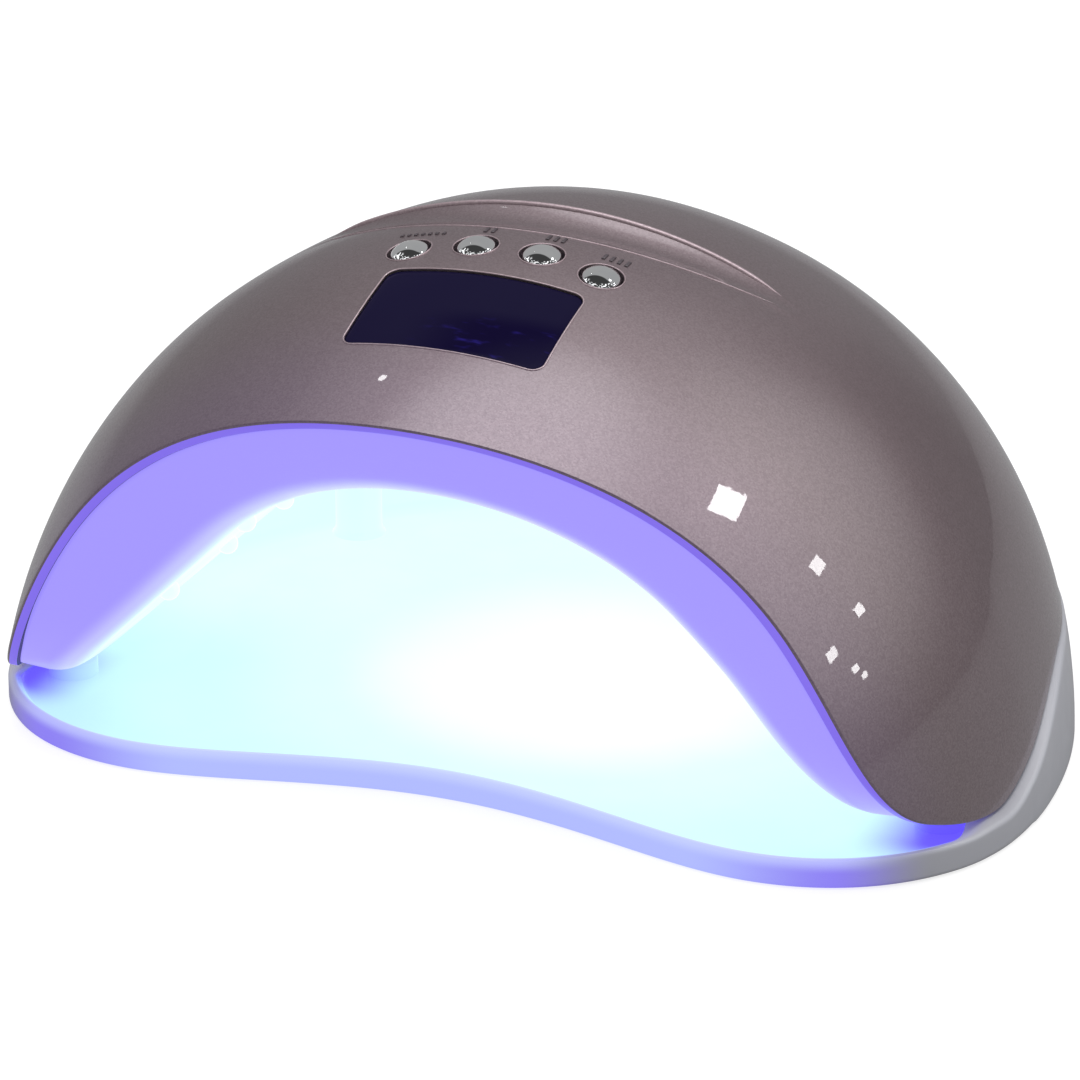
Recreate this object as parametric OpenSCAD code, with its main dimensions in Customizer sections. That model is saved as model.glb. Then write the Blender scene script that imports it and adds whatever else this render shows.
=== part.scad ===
// Tabletop ultraviolet curing lamp: a painted dome with a lit hand cavity, standing on a
// shallow kidney-shaped tray that magnets hold and that lifts away for cleaning.
// X is the width, -Y is the open front, +Z is up and Z = 0 is the table.

/* [Dome] */
// Radius of the painted dome at its widest section
dome_r = 112.7; // [111:0.1:114]
// Thickness of the painted shell
shell_t = 2.4; // [2:0.1:2.8]
// Thickness of the white lining
lining_t = 2; // [1.6:0.1:2.4]

/* [Hand cavity] */
// Radius of the arch of the cavity
cavity_r = 71.5; // [70:0.5:73]
// Depth of the recessed white band, from the shell edge to the cavity
band_depth = 9; // [6:0.5:10]

/* [Control panel] */
// Diameter of a button cap
button_d = 8.4; // [8:0.1:8.8]
// Gap all round a button cap
button_gap = 0.6; // [0.4:0.1:0.8]
// Travel of a button
button_travel = 0.5; // [0.3:0.1:0.5]
// Width of the display window
window_w = 43.6; // [40:0.2:45]
// Height of the display window along the dome
window_h = 25; // [22:0.5:26]

/* [Crescent] */
// How far the crescent ridge stands above the dome
ridge_up = 1.6; // [1:0.1:2]
// How deep the crescent groove is cut below the dome
groove_dip = 1.3; // [0.8:0.1:1.4]

/* [Tray] */
// How far the tray wall stands outside the dome at the feet
tray_out = 3.2; // [2.8:0.1:3.4]
// Thickness of the tray wall
tray_t = 2.4; // [2:0.1:2.6]
// Height of the low front rim above the table
rim_h = 6.6; // [5.5:0.1:7]

/* [Light] */
// Light emitters on each ring
ring_beads = 7; // [5:1:7]

/* [Hidden] */
$fn = 48;
big = 400;
slack = 0.3;

// Dome: a solid of revolution about a line parallel to Y. Its profile is a superellipse
// with one half axis and exponent in front of the widest section and another behind it.
axis_z = -1.45;
dome_y = -28.5;
dome_front = 133.2;
dome_rear = 122.8;
front_m = 1.78;
rear_m = 2.14;
dome_from = -40;
dome_steps = 46;

function dome_pt(a, d) =
    let (
        m = a < 0 ? front_m : rear_m,
        len = a < 0 ? dome_front : dome_rear,
        v = pow(cos(a), 2 / m),
        u = sign(a) * pow(abs(sin(a)), 2 / m),
        nr = pow(v, m - 1) / dome_r,
        ny = sign(a) * pow(abs(u), m - 1) / len,
        n = norm([nr, ny])
    )
    [dome_r * v + d * nr / n, dome_y + len * u + d * ny / n];

function dome_len(y) = y < dome_y ? dome_front : dome_rear;
function dome_m(y) = y < dome_y ? front_m : rear_m;
function dome_u(y) = abs(y - dome_y) / dome_len(y);
function dome_fall(y) = 1 - pow(dome_u(y), dome_m(y));
function dome_at(y) = dome_r * pow(dome_fall(y), 1 / dome_m(y));
function dome_slope(y) =
    -sign(y - dome_y) * dome_r / dome_len(y) * pow(dome_u(y), dome_m(y) - 1)
    * pow(dome_fall(y), 1 / dome_m(y) - 1);
function dome_z(x, y) = axis_z + sqrt(pow(dome_at(y), 2) - x * x);
function dome_normal(x, y) =
    let (n = [x / dome_at(y), -dome_slope(y), (dome_z(x, y) - axis_z) / dome_at(y)])
    n / norm(n);

// Side view of the lower edge of the shell, from the crown of the arch down the front,
// round the foot and up to the level edge at the back, as [y, z] points on Bezier curves.
level_z = 24;
foot_y = -48;
foot_z = 7.3;
edge_curves = [
    [[-100, 95.5], [-91, 84], [-88, 70], [-87.5, 52]],
    [[-87.5, 52], [-87, 38], [-86, 19], [-70, 12.5]],
    [[-70, 12.5], [-63, 9.6], [-55, foot_z], [foot_y, foot_z]],
    [[foot_y, foot_z], [-43, foot_z], [-36, 10.6], [-28.2, 13.9]],
    [[-28.2, 13.9], [-19.3, 17.9], [-8, level_z], [4, level_z]]
];
curve_steps = 8;

function bezier(p, t) =
    pow(1 - t, 3) * p[0] + 3 * t * pow(1 - t, 2) * p[1]
    + 3 * t * t * (1 - t) * p[2] + pow(t, 3) * p[3];
function bezier_dir(p, t) =
    pow(1 - t, 2) * (p[1] - p[0]) + 2 * t * (1 - t) * (p[2] - p[1]) + t * t * (p[3] - p[2]);
// Points of a chain of curves, moved d to the left of the direction of travel
function chain(curves, d) = [
    for (c = curves, i = [1 : curve_steps])
        let (t = i / curve_steps, v = bezier_dir(c, t))
        bezier(c, t) + d * [-v.y, v.x] / norm(v)
];
function chain_start(curves, d) =
    let (v = bezier_dir(curves[0], 0))
    curves[0][0] + d * [-v.y, v.x] / norm(v);
function edge_line(d) =
    concat([chain_start(edge_curves, d)], chain(edge_curves, d), [[big / 2, level_z + d]]);

// Kidney outline of the tray on the table: half of it as curves, then the round back
outline_curves = [
    [[0, -73], [28, -73], [50, -84.8], [69, -84.7]],
    [[69, -84.7], [100, -84.5], [115.6, -58], [115.6, -36]]
];
function outline_half(d) =
    concat([[0, -73 + d]], chain(outline_curves, d), [[115.6 - d, 40], [115.6 - d, 130]]);
function mirrored(points) =
    [for (i = [len(points) - 1 : -1 : 1]) [-points[i].x, points[i].y]];

// Cavity: an arch of constant radius that closes in a rounded end, with 45 degree flanks
// that widen it towards the tray.
cavity_from = -105;
cavity_y = 8;
cavity_end = 66;
cavity_m = 2.3;
cavity_steps = 16;
flank_margin = 14;
flank = cavity_r * sqrt(2);

function cavity_pt(a, d) = [
    cavity_r * pow(cos(a), 2 / cavity_m) + d * cos(a),
    cavity_y + cavity_end * pow(sin(a), 2 / cavity_m) + d * sin(a)
];
function cavity_at(y) = y < cavity_y ? cavity_r
    : cavity_r * pow(1 - pow((y - cavity_y) / cavity_end, cavity_m), 1 / cavity_m);

// Buttons
button_x = [-21.3, -7.3, 7.3, 21.3];
button_y = [-42.9, -40.6, -40.6, -42.9];
cap_r = button_d / 2;
hole_r = cap_r + button_gap;
stem_r = 1.5;
flange_h = 1;
plunger_top = 2.15;

// Display window
window_y = -64.5;
window_round = 2.8;
window_tilt = atan(dome_slope(window_y));

// Control board: flat, below the buttons, tilted with the panel
panel_y = -42;
panel_tilt = atan(dome_slope(panel_y));
board_depth = 14;
board_t = 1.6;
board_size = [58, 20];

// Light rings and bars
ring_y = [-62, -34, -6, 16];
ring_w = 9;
ring_from = 42;
strip_t = 1.2;
bead_r = 2.3;
bar_size = 74;
bar_mid = -16;
bar_along = 26;
sensor_at = [22, 64, 34];

// Crescent groove and ridge
tip_x = 53.6;
tip_y = -18.5;
groove_y = -25.6;
groove_rho = 13;
ridge_y = -21;
ridge_run = 70;

// Fastening
screw_at = [[-95, 12], [95, 12], [-38, 70], [38, 70]];
screw_r = 1.5;
magnet_at = [[-99, -50], [99, -50], [-76, 48], [76, 48]];
magnet_r = 4;
magnet_h = 2;
boss_r = 5.4;
foot_at = [[-84, -58], [84, -58], [-58, 58], [58, 58]];
jack_z = 38;
jack_y = 86;
wire_y = -20;

// ---- Helpers ----

module about_axis(z = axis_z) {
    translate([0, 0, z])
    rotate([-90, 0, 0])
    children();
}

module dome(d) {
    points = [for (i = [0 : dome_steps]) dome_pt(dome_from + (90 - dome_from) * i / dome_steps, d)];
    about_axis()
    rotate_extrude($fn = 180)
    polygon(concat([[0, points[0].y]], points));
}

module side_prism(points) {
    rotate([90, 0, 90])
    linear_extrude(big, center = true)
    polygon(points);
}

// Everything above and behind the edge line, moved d inwards
module above_edge(d) {
    side_prism(concat(edge_line(d), [[big / 2, big / 2], [-110, big / 2]]));
}

module on_dome(x, y) {
    n = dome_normal(x, y);
    translate([x, y, dome_z(x, y)])
    rotate([0, acos(n.z), atan2(n.y, n.x)])
    children();
}

module on_panel(y, tilt) {
    translate([0, y, dome_z(0, y)])
    rotate([tilt, 0, 0])
    children();
}

module round_rect(w, h, r) {
    square([w - 2 * r, h], center = true);
    square([w, h - 2 * r], center = true);
    for (x = [-1, 1], y = [-1, 1])
        translate([x * (w / 2 - r), y * (h / 2 - r)])
        circle(r);
}

// ---- Dome and lining ----

module crescent_groove() {
    n = dome_normal(tip_x, tip_y);
    tip = [tip_x, tip_y, dome_z(tip_x, tip_y)] + groove_rho * n;
    top = [0, groove_y, dome_z(0, groove_y) - groove_dip + groove_rho];
    rise = norm([top.y - tip.y, top.z - tip.z]);
    major = (tip.x * tip.x + rise * rise) / (2 * rise);
    lean = atan((tip.y - top.y) / (top.z - tip.z));
    translate(top - major * [0, -sin(lean), cos(lean)])
    rotate([90 + lean, 0, 0])
    rotate_extrude($fn = 180)
    translate([major, 0])
    circle(groove_rho);
}

// Raised crown behind the groove, which falls back into the dome at the sides and behind
module crescent_ridge() {
    tip_z = dome_z(tip_x, tip_y);
    top_z = dome_z(0, tip_y) + ridge_up;
    mid_z = (top_z * top_z - tip_z * tip_z - tip_x * tip_x) / (2 * (top_z - tip_z));
    steps = 10;
    rim = [
        for (i = [0 : steps])
            let (s = i / steps, y = ridge_y + ridge_run * s)
            [top_z - mid_z + dome_at(y) - dome_at(tip_y) - 2.2 * pow(s, 1.5), y]
    ];
    about_axis(mid_z)
    rotate_extrude($fn = 180)
    polygon(concat([[0, ridge_y]], rim, [[0, ridge_y + ridge_run]]));
}

module window_cut(grow, from, to) {
    on_panel(window_y, window_tilt)
    translate([0, 0, from])
    linear_extrude(to - from)
    round_rect(window_w + 2 * grow, window_h + 2 * grow, window_round + grow);
}

module screw_bosses() {
    intersection() {
        for (p = screw_at) {
            translate([p.x, p.y, level_z + 5])
            cylinder(h = 14, r = 3.6);
            translate([p.x * 1.08 - 1, p.y - 1, level_z + 5])
            cube([2, 2 + 30 * (p.y > 40 ? 1 : 0), 14]);
            translate([min(p.x, p.x * 1.4), p.y - 1, level_z + 5])
            cube([abs(p.x) * 0.4, 2, 14]);
        }
        dome(-1);
    }
}

module jack_seat(r, from, to) {
    translate([0, from, jack_z])
    rotate([-90, 0, 0])
    cylinder(h = to - from, r = r);
}

module outer_shell() {
    color([0.47, 0.41, 0.43])
    difference() {
        union() {
            intersection() {
                difference() {
                    union() {
                        dome(0);
                        crescent_ridge();
                    }
                    dome(-shell_t);
                }
                above_edge(0);
            }
            screw_bosses();
            intersection() {
                jack_seat(10, 76, 120);
                dome(-0.2);
            }
        }
        crescent_groove();
        window_cut(0, -10, 10);
        for (i = [0 : 3])
            on_dome(button_x[i], button_y[i])
            translate([0, 0, -6])
            cylinder(h = 12, r = hole_r);
        for (p = screw_at)
            translate([p.x, p.y, level_z])
            cylinder(h = 15, r = screw_r + 0.05);
        jack_seat(7, jack_y + 2.5, 120);
        jack_seat(5.1, 70, 120);
        jack_seat(7.3, 70, jack_y - 1.5);
    }
}

module band_cone(back) {
    lean = 12;
    outer = 93;
    reach = 40;
    slope = band_depth / (outer - cavity_r);
    translate([0, -77.8 + back, 0])
    rotate([lean, 0, 0])
    rotate([-90, 0, 0])
    rotate_extrude($fn = 180)
    polygon([
        [0, -60], [outer + reach, -60], [outer + reach, -slope * reach],
        [cavity_r - reach, slope * (outer - cavity_r + reach)],
        [0, slope * (outer - cavity_r + reach)]
    ]);
}

module cavity(d) {
    points = [for (i = [0 : cavity_steps]) cavity_pt(90 * i / cavity_steps, d)];
    about_axis(0)
    rotate_extrude($fn = 180)
    polygon(concat([[0, cavity_from], [points[0].x, cavity_from]], points));
    lift = d * sqrt(2);
    intersection() {
        translate([0, cavity_from, 0])
        rotate([-90, 0, 0])
        mirror([0, 1, 0])
        linear_extrude(big / 2)
        polygon([
            [-flank - lift - 10, -10], [flank + lift + 10, -10],
            [flank / 2 + lift / 2, flank / 2 + lift / 2],
            [-flank / 2 - lift / 2, flank / 2 + lift / 2]
        ]);
        dome(-flank_margin + d);
        translate([-big / 2, cavity_from, -10])
        cube([big, 20 - cavity_from + d, 100]);
    }
}

module lining_solid() {
    difference() {
        intersection() {
            dome(-shell_t - 0.5);
            above_edge(0.8);
        }
        band_cone(0);
        cavity(0);
        difference() {
            above_edge(0.8 + lining_t);
            band_cone(lining_t);
            cavity(lining_t);
        }
    }
}

module bead_places() {
    for (k = [0 : 3]) {
        for (j = [0 : ring_beads - 1])
            translate([0, ring_y[k], 0])
            rotate([0, 90 - 45 - 90 * j / (ring_beads - 1), 0])
            translate([0, 0, cavity_at(ring_y[k])])
            children();
        for (s = [-1, 1])
            translate([0, min(ring_y[k], 14), 0])
            rotate([0, 45 * s, 0])
            translate([bar_along * s, 0, cavity_r])
            children();
    }
}

module inner_lining() {
    color([0.95, 0.95, 0.97])
    difference() {
        union() {
            lining_solid();
            intersection() {
                for (p = magnet_at)
                    translate([p.x, p.y, dock_z(p) + 1.2])
                    cylinder(h = 5, r = boss_r);
                dome(-shell_t - 0.5);
            }
        }
        bead_places()
            cylinder(h = 20, r = bead_r + 0.2, center = true);
        for (p = screw_at)
            translate([p.x, p.y, level_z - 2])
            cylinder(h = 8, r = screw_r + 0.3);
        for (p = magnet_at)
            translate([p.x, p.y, dock_z(p)])
            cylinder(h = 1.2 + magnet_h + 0.1, r = magnet_r + 0.1);
        translate([sensor_at.x, sensor_at.y - 5, sensor_at.z])
        rotate([-90, 0, 0])
        cylinder(h = 16, r = 3.2);
    }
}

// ---- Control panel ----

module display_window() {
    color([0.09, 0.08, 0.19])
    union() {
        intersection() {
            difference() {
                dome(-0.3);
                dome(-shell_t - 0.3);
            }
            window_cut(-0.15, -10, 10);
        }
        intersection() {
            difference() {
                dome(-shell_t - 0.2);
                dome(-shell_t - 1.6);
            }
            window_cut(2, -10, 10);
        }
    }
}

module display_module() {
    color([0.12, 0.12, 0.13])
    on_panel(window_y, window_tilt)
    translate([-19, -9, -14])
    cube([38, 18, 7.5]);
    color([0.12, 0.35, 0.2])
    on_panel(window_y, window_tilt)
    translate([-21, -9, -15.6])
    cube([42, 18, board_t]);
}

module button(i) {
    color([0.8, 0.8, 0.82])
    on_dome(button_x[i], button_y[i]) {
        dome_rho = (cap_r * cap_r + 2 * 2) / (2 * 2);
        intersection() {
            translate([0, 0, -0.4])
            cylinder(h = 4, r = cap_r);
            translate([0, 0, 1.6 - dome_rho])
            sphere(dome_rho);
        }
        translate([0, 0, -shell_t - 0.5])
        cylinder(h = shell_t + 0.3, r = cap_r);
        translate([0, 0, -shell_t - 0.5 - flange_h])
        cylinder(h = flange_h, r = cap_r + 1.4);
        translate([0, 0, -stem_end(i)])
        cylinder(h = stem_end(i) - shell_t - 0.5 - flange_h / 2, r = stem_r);
    }
}

module button_1() {
    button(0);
}

module button_2() {
    button(1);
}

module button_3() {
    button(2);
}

module button_4() {
    button(3);
}

// Curved guide plate: one sleeve under each button, and a web that follows the dome
module button_guide() {
    top = -shell_t - 0.5 - flange_h - button_travel - slack;
    color([0.9, 0.9, 0.9])
    difference() {
        union() {
            intersection() {
                difference() {
                    dome(top - 0.4);
                    dome(top - 1.9);
                }
                translate([0, panel_y, 60])
                linear_extrude(60)
                round_rect(60, 15, 3);
            }
            for (i = [0 : 3])
                on_dome(button_x[i], button_y[i])
                translate([0, 0, top - 3])
                cylinder(h = 2.4, r = 3.2);
        }
        for (i = [0 : 3])
            on_dome(button_x[i], button_y[i])
            translate([0, 0, -20])
            cylinder(h = 20, r = stem_r + 0.06);
        for (s = [-1, 1])
            translate([s * 27.5, panel_y, 60])
            cylinder(h = 60, r = 1.2);
    }
}

module on_board() {
    on_panel(panel_y, panel_tilt)
    translate([0, 0, -board_depth])
    children();
}

module control_board() {
    color([0.1, 0.4, 0.22])
    on_board()
    translate([0, 0, -board_t])
    difference() {
        linear_extrude(board_t)
        square(board_size, center = true);
        for (s = [-1, 1])
            translate([s * 26.5, 6.5, -1])
            cylinder(h = 4, r = 1.3);
    }
}

// Where the axis of a button meets the top plane of the board, in the board's own axes, and
// how far below the dome that is
function board_hit(i) =
    let (
        n = dome_normal(button_x[i], button_y[i]),
        p = [button_x[i], button_y[i], dome_z(button_x[i], button_y[i])],
        up = [0, -sin(panel_tilt), cos(panel_tilt)],
        along = [0, cos(panel_tilt), sin(panel_tilt)],
        q = [0, panel_y, dome_z(0, panel_y)] - board_depth * up,
        s = ((p - q) * up) / (n * up),
        h = p - s * n - q
    )
    [h.x, h * along, s];

// Each stem stops half a millimetre short of its switch when the button is fully pressed
function stem_end(i) = board_hit(i).z - plunger_top - button_travel - 0.5;

module tact_switches() {
    color([0.25, 0.25, 0.27])
    on_board()
    for (i = [0 : 3])
        translate([board_hit(i).x, board_hit(i).y, slack / 6]) {
            translate([-3, -3, 0])
            cube([6, 6, 1.6]);
            translate([0, 0, 1])
            cylinder(h = 1.1, r = 1.6);
        }
}

module control_chip() {
    color([0.15, 0.15, 0.16])
    on_board()
    translate([-5, -4, -board_t - 1.9])
    cube([10, 8, 1.8]);
}

module capacitors() {
    color([0.2, 0.2, 0.3])
    on_board()
    for (x = [-16, 14, 22])
        translate([x, 0, -board_t - 8.1])
        cylinder(h = 8, r = 3);
}

module buzzer() {
    color([0.08, 0.08, 0.08])
    on_board()
    translate([-24, 0, -board_t - 6.1])
    difference() {
        cylinder(h = 6, r = 4.5);
        translate([0, 0, -1])
        cylinder(h = 3, r = 1);
    }
}

// ---- Light ----

module led_ring(k) {
    r = cavity_at(ring_y[k] - ring_w / 2) + lining_t + slack;
    color([0.9, 0.92, 0.9])
    about_axis(0)
    translate([0, 0, ring_y[k] - ring_w / 2])
    rotate([0, 0, -180 + ring_from])
    rotate_extrude(angle = 180 - 2 * ring_from, $fn = 180)
    translate([r, 0])
    square([strip_t, ring_w]);
}

module led_ring_1() {
    led_ring(0);
}

module led_ring_2() {
    led_ring(1);
}

module led_ring_3() {
    led_ring(2);
}

module led_ring_4() {
    led_ring(3);
}

module led_bar(s) {
    color([0.9, 0.92, 0.9])
    rotate([0, 45 * s, 0])
    translate([bar_along * s - 4, bar_mid - bar_size / 2 - 8, cavity_r + lining_t + slack])
    cube([8, bar_size, strip_t]);
}

module led_bar_left() {
    led_bar(-1);
}

module led_bar_right() {
    led_bar(1);
}

module led_beads() {
    color([0.75, 0.8, 1])
    bead_places()
    union() {
        translate([0, 0, 0.2])
        cylinder(h = lining_t + slack - 0.3, r = bead_r);
        intersection() {
            sphere(bead_r);
            translate([-5, -5, -5])
            cube([10, 10, 5.3]);
        }
    }
}

module hand_sensor() {
    color([0.15, 0.03, 0.1])
    translate(sensor_at)
    rotate([-90, 0, 0])
    union() {
        cylinder(h = 7, r = 3);
        translate([-6, -5, 7])
        cube([12, 10, 1.6]);
    }
}

// ---- Power ----

module dc_jack() {
    color([0.1, 0.1, 0.11])
    translate([0, 0, jack_z])
    rotate([-90, 0, 0])
    union() {
        difference() {
            translate([0, 0, jack_y - 14])
            cylinder(h = 16.5, r = 5);
            translate([0, 0, jack_y - 8])
            cylinder(h = 20, r = 2.8);
        }
        translate([0, 0, jack_y - 9])
        cylinder(h = 9, r = 1.05);
        translate([0, 0, jack_y - 3.2])
        difference() {
            cylinder(h = 1.6, r = 7.1);
            cylinder(h = 1.6, r = 4.5);
        }
    }
}

// Trunk along the top of the cavity, a bend down to the jack, and a branch round the lining
module wire_harness() {
    trunk_r = 1.1;
    branch_r = 0.9;
    run_x = 9;
    run_z = 78;
    run_from = -40;
    run_to = 41;
    bend = 30;
    color([0.1, 0.1, 0.12])
    union() {
        translate([run_x, run_from, run_z])
        rotate([-90, 0, 0])
        cylinder(h = run_to - run_from, r = trunk_r);
        translate([run_x, run_to, run_z - bend])
        rotate([90, 0, 90])
        rotate_extrude(angle = 90, $fn = 96)
        translate([bend, 0])
        circle(trunk_r);
        translate([run_x, run_to + bend, jack_z])
        cylinder(h = run_z - bend - jack_z, r = trunk_r);
        about_axis(0)
        translate([0, 0, wire_y])
        rotate([0, 0, -150])
        rotate_extrude(angle = 120, $fn = 180)
        translate([run_z, 0])
        circle(branch_r);
    }
}

// ---- Fastening ----

module lining_screws() {
    color([0.7, 0.7, 0.72])
    for (p = screw_at)
        translate([p.x, p.y, level_z + 0.75]) {
            cylinder(h = 12, r = screw_r);
            translate([0, 0, -1.6])
            cylinder(h = 1.6, r = 2.8);
        }
}

module board_screws() {
    color([0.7, 0.7, 0.72])
    on_board()
    for (s = [-1, 1])
        translate([s * 26.5, 6.5, -board_t - 1.3]) {
            cylinder(h = 1.2, r = 2.2);
            cylinder(h = 5, r = 1.2);
        }
}

// Height of the shell edge line above a docking magnet
function dock_z(p) = p.y < foot_y + 10 ? foot_z + 0.4 : level_z;

module lamp_magnets() {
    color([0.75, 0.75, 0.78])
    for (p = magnet_at)
        translate([p.x, p.y, dock_z(p) + 1.15])
        cylinder(h = magnet_h, r = magnet_r);
}

// ---- Tray ----

tray_bottom = 0.4;
tray_back = 0.3;
flare_y = 18;
floor_z = 3.4;
tray_clear = 0.4;

// Extra reach of the tray wall: none behind flare_y, then growing towards the feet
function tray_flare(y) = (tray_out - tray_back) * min(max((flare_y - y) / 68, 0), 1);

module tray_dome(d) {
    rim = [
        for (i = [0 : dome_steps])
            let (p = dome_pt(dome_from + (90 - dome_from) * i / dome_steps, tray_back + d))
            [p.x + tray_flare(p.y), p.y]
    ];
    about_axis()
    rotate_extrude($fn = 180)
    polygon(concat([[0, rim[0].y]], rim));
}

// Everything below the rim line: level round the front, then under the edge of the shell
module below_rim(d) {
    rear = [for (p = edge_line(-slack - d)) if (p.x > foot_y - 1) p];
    side_prism(concat([[-110, rim_h - d]], rear, [[big / 2, -5], [-110, -5]]));
}

module outline_prism(d, from, to) {
    half = outline_half(d);
    translate([0, 0, from])
    linear_extrude(to - from)
    polygon(concat(half, mirrored(half)));
}

module base_tray() {
    color([0.93, 0.93, 0.96])
    difference() {
        union() {
            difference() {
                intersection() {
                    tray_dome(0);
                    outline_prism(0, tray_bottom, 40);
                    below_rim(0);
                }
                intersection() {
                    tray_dome(-tray_t);
                    outline_prism(tray_t, floor_z, 60);
                }
            }
            intersection() {
                difference() {
                    tray_dome(0.5 - tray_t);
                    dome(-shell_t - 1);
                }
                below_rim(0);
                side_prism(concat(
                    [for (p = edge_line(-slack - 2.2)) if (p.x > foot_y - 1) p],
                    [[big / 2, 60], [foot_y, 60]]
                ));
            }
            for (p = magnet_at)
                translate([p.x, p.y, floor_z - 1])
                cylinder(h = dock_z(p) - slack - 0.4 - floor_z + 1, r = boss_r);
        }
        for (p = magnet_at)
            translate([p.x, p.y, dock_z(p) - slack - 0.4 - magnet_h])
            cylinder(h = magnet_h + 1, r = magnet_r + 0.1);
        for (p = foot_at)
            translate([p.x, p.y, 0])
            cylinder(h = tray_bottom + 1.2, r = 6.1);
    }
}

module tray_magnets() {
    color([0.75, 0.75, 0.78])
    for (p = magnet_at)
        translate([p.x, p.y, dock_z(p) - slack - 0.35 - magnet_h])
        cylinder(h = magnet_h, r = magnet_r);
}

module tray_feet() {
    color([0.12, 0.12, 0.13])
    for (p = foot_at)
        translate([p.x, p.y, 0])
        cylinder(h = tray_bottom + 1.15, r = 6);
}

outer_shell();
inner_lining();
display_window();
display_module();
button_1();
button_2();
button_3();
button_4();
button_guide();
control_board();
tact_switches();
control_chip();
capacitors();
buzzer();
led_ring_1();
led_ring_2();
led_ring_3();
led_ring_4();
led_bar_left();
led_bar_right();
led_beads();
hand_sensor();
dc_jack();
wire_harness();
lining_screws();
board_screws();
lamp_magnets();
base_tray();
tray_magnets();
tray_feet();
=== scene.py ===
"""Looks of the tabletop curing lamp: painted dome, lit lining, plated buttons, smoked window and tray."""

import math

import bmesh
import bpy
import numpy as np
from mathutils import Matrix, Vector


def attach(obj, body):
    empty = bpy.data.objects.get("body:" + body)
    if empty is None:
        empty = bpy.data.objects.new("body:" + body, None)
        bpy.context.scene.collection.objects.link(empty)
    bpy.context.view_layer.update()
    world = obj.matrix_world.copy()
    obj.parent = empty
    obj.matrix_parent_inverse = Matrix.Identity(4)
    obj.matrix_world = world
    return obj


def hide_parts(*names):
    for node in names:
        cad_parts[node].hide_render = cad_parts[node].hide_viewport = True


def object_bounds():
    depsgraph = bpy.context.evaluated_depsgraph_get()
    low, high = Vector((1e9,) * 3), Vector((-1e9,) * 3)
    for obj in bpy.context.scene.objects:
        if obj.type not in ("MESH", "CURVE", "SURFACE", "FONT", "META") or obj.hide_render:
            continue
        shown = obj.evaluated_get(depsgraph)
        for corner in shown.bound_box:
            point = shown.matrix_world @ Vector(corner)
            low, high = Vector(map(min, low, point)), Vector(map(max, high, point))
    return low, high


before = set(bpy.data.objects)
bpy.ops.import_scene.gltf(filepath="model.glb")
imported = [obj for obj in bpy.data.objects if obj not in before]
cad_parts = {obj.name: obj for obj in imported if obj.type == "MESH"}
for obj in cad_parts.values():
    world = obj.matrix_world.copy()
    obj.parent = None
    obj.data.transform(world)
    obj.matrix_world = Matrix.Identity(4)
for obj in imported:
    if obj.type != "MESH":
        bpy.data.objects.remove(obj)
cad_lo, cad_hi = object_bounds()

# ---- Shape of the lamp, in millimetres, as the CAD model has it ----

MM = 0.001
DOME_R = 112.7          # radius at the widest section
DOME_Y = -28.5          # where that section is
DOME_FRONT, FRONT_M = 133.2, 1.78       # reach in front of it, and the power of that curve
DOME_REAR, REAR_M = 122.8, 2.14         # the same behind it
AXIS_Z = -1.45          # height of the dome's axis, which runs from front to back
SHELL_T = 2.4
LINING_GAP = 0.5        # between shell and lining
LINING_SET = 0.8        # how far the lining sits behind the shell's edge
LEVEL_Z = 24.0          # height of the shell's edge round the back
FOOT_Y, FOOT_Z = -48.0, 7.3             # lowest point of that edge

# Edge of the shell from the side, as Bezier curves of (y, z): crown, foot, back
EDGE_CURVES = (
    ((-100, 95.5), (-91, 84), (-88, 70), (-87.5, 52)),
    ((-87.5, 52), (-87, 38), (-86, 19), (-70, 12.5)),
    ((-70, 12.5), (-63, 9.6), (-55, FOOT_Z), (FOOT_Y, FOOT_Z)),
    ((FOOT_Y, FOOT_Z), (-43, FOOT_Z), (-36, 10.6), (-28.2, 13.9)),
    ((-28.2, 13.9), (-19.3, 17.9), (-8, LEVEL_Z), (4, LEVEL_Z)),
    ((4, LEVEL_Z), (40, LEVEL_Z), (80, LEVEL_Z), (130, LEVEL_Z)),
)
# Right half of the tray's front outline from above, as Bezier curves of (x, y): notch, lobe
LOBE_CURVES = (
    ((0, -73), (28, -73), (50, -84.8), (69, -84.7)),
    ((69, -84.7), (100, -84.5), (115.6, -58), (115.6, -36)),
)
CAVITY_R = 71.5         # radius of the arch, which closes behind CAVITY_Y
CAVITY_Y, CAVITY_END, CAVITY_M = 8.0, 66.0, 2.3
BAND_DEPTH = 9.0        # how far the band behind the shell's lip is sunk
FLANK_MARGIN = 14.0     # least depth between the dome and the cavity
TRAY_OUT, TRAY_BACK, FLARE_Y = 3.2, 0.3, 18.0     # tray wall outside the dome: at the feet, behind FLARE_Y
FLARE_RUN = 68.0        # length over which the wall goes from the one to the other
TRAY_T, TRAY_BOTTOM, FLOOR_Z, RIM_H = 2.4, 0.4, 3.4, 6.6
LEDGE_Y, LEDGE_RUN, LEDGE_W = -64.0, 12.0, 5.0    # where and how much the tray's top widens under the shell
POSTS = ((-99, -50), (99, -50), (-76, 48), (76, 48))
TIP_X, TIP_Y = 53.6, -18.5              # right end of the crescent
GROOVE_Y, GROOVE_RHO, GROOVE_DIP = -25.6, 13.0, 1.3     # its round groove, at the middle
RIDGE_Y, RIDGE_UP, RIDGE_RUN = -21.0, 1.6, 70.0         # the raised crown behind it
WINDOW_Y, WINDOW_W, WINDOW_H, WINDOW_ROUND = -64.5, 43.6, 25.8, 2.8
WINDOW_ARCH = 0.7       # rise of the window's upper edge in the middle
WINDOW_SUNK = 0.42      # how far the pane lies below the paint
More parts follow.
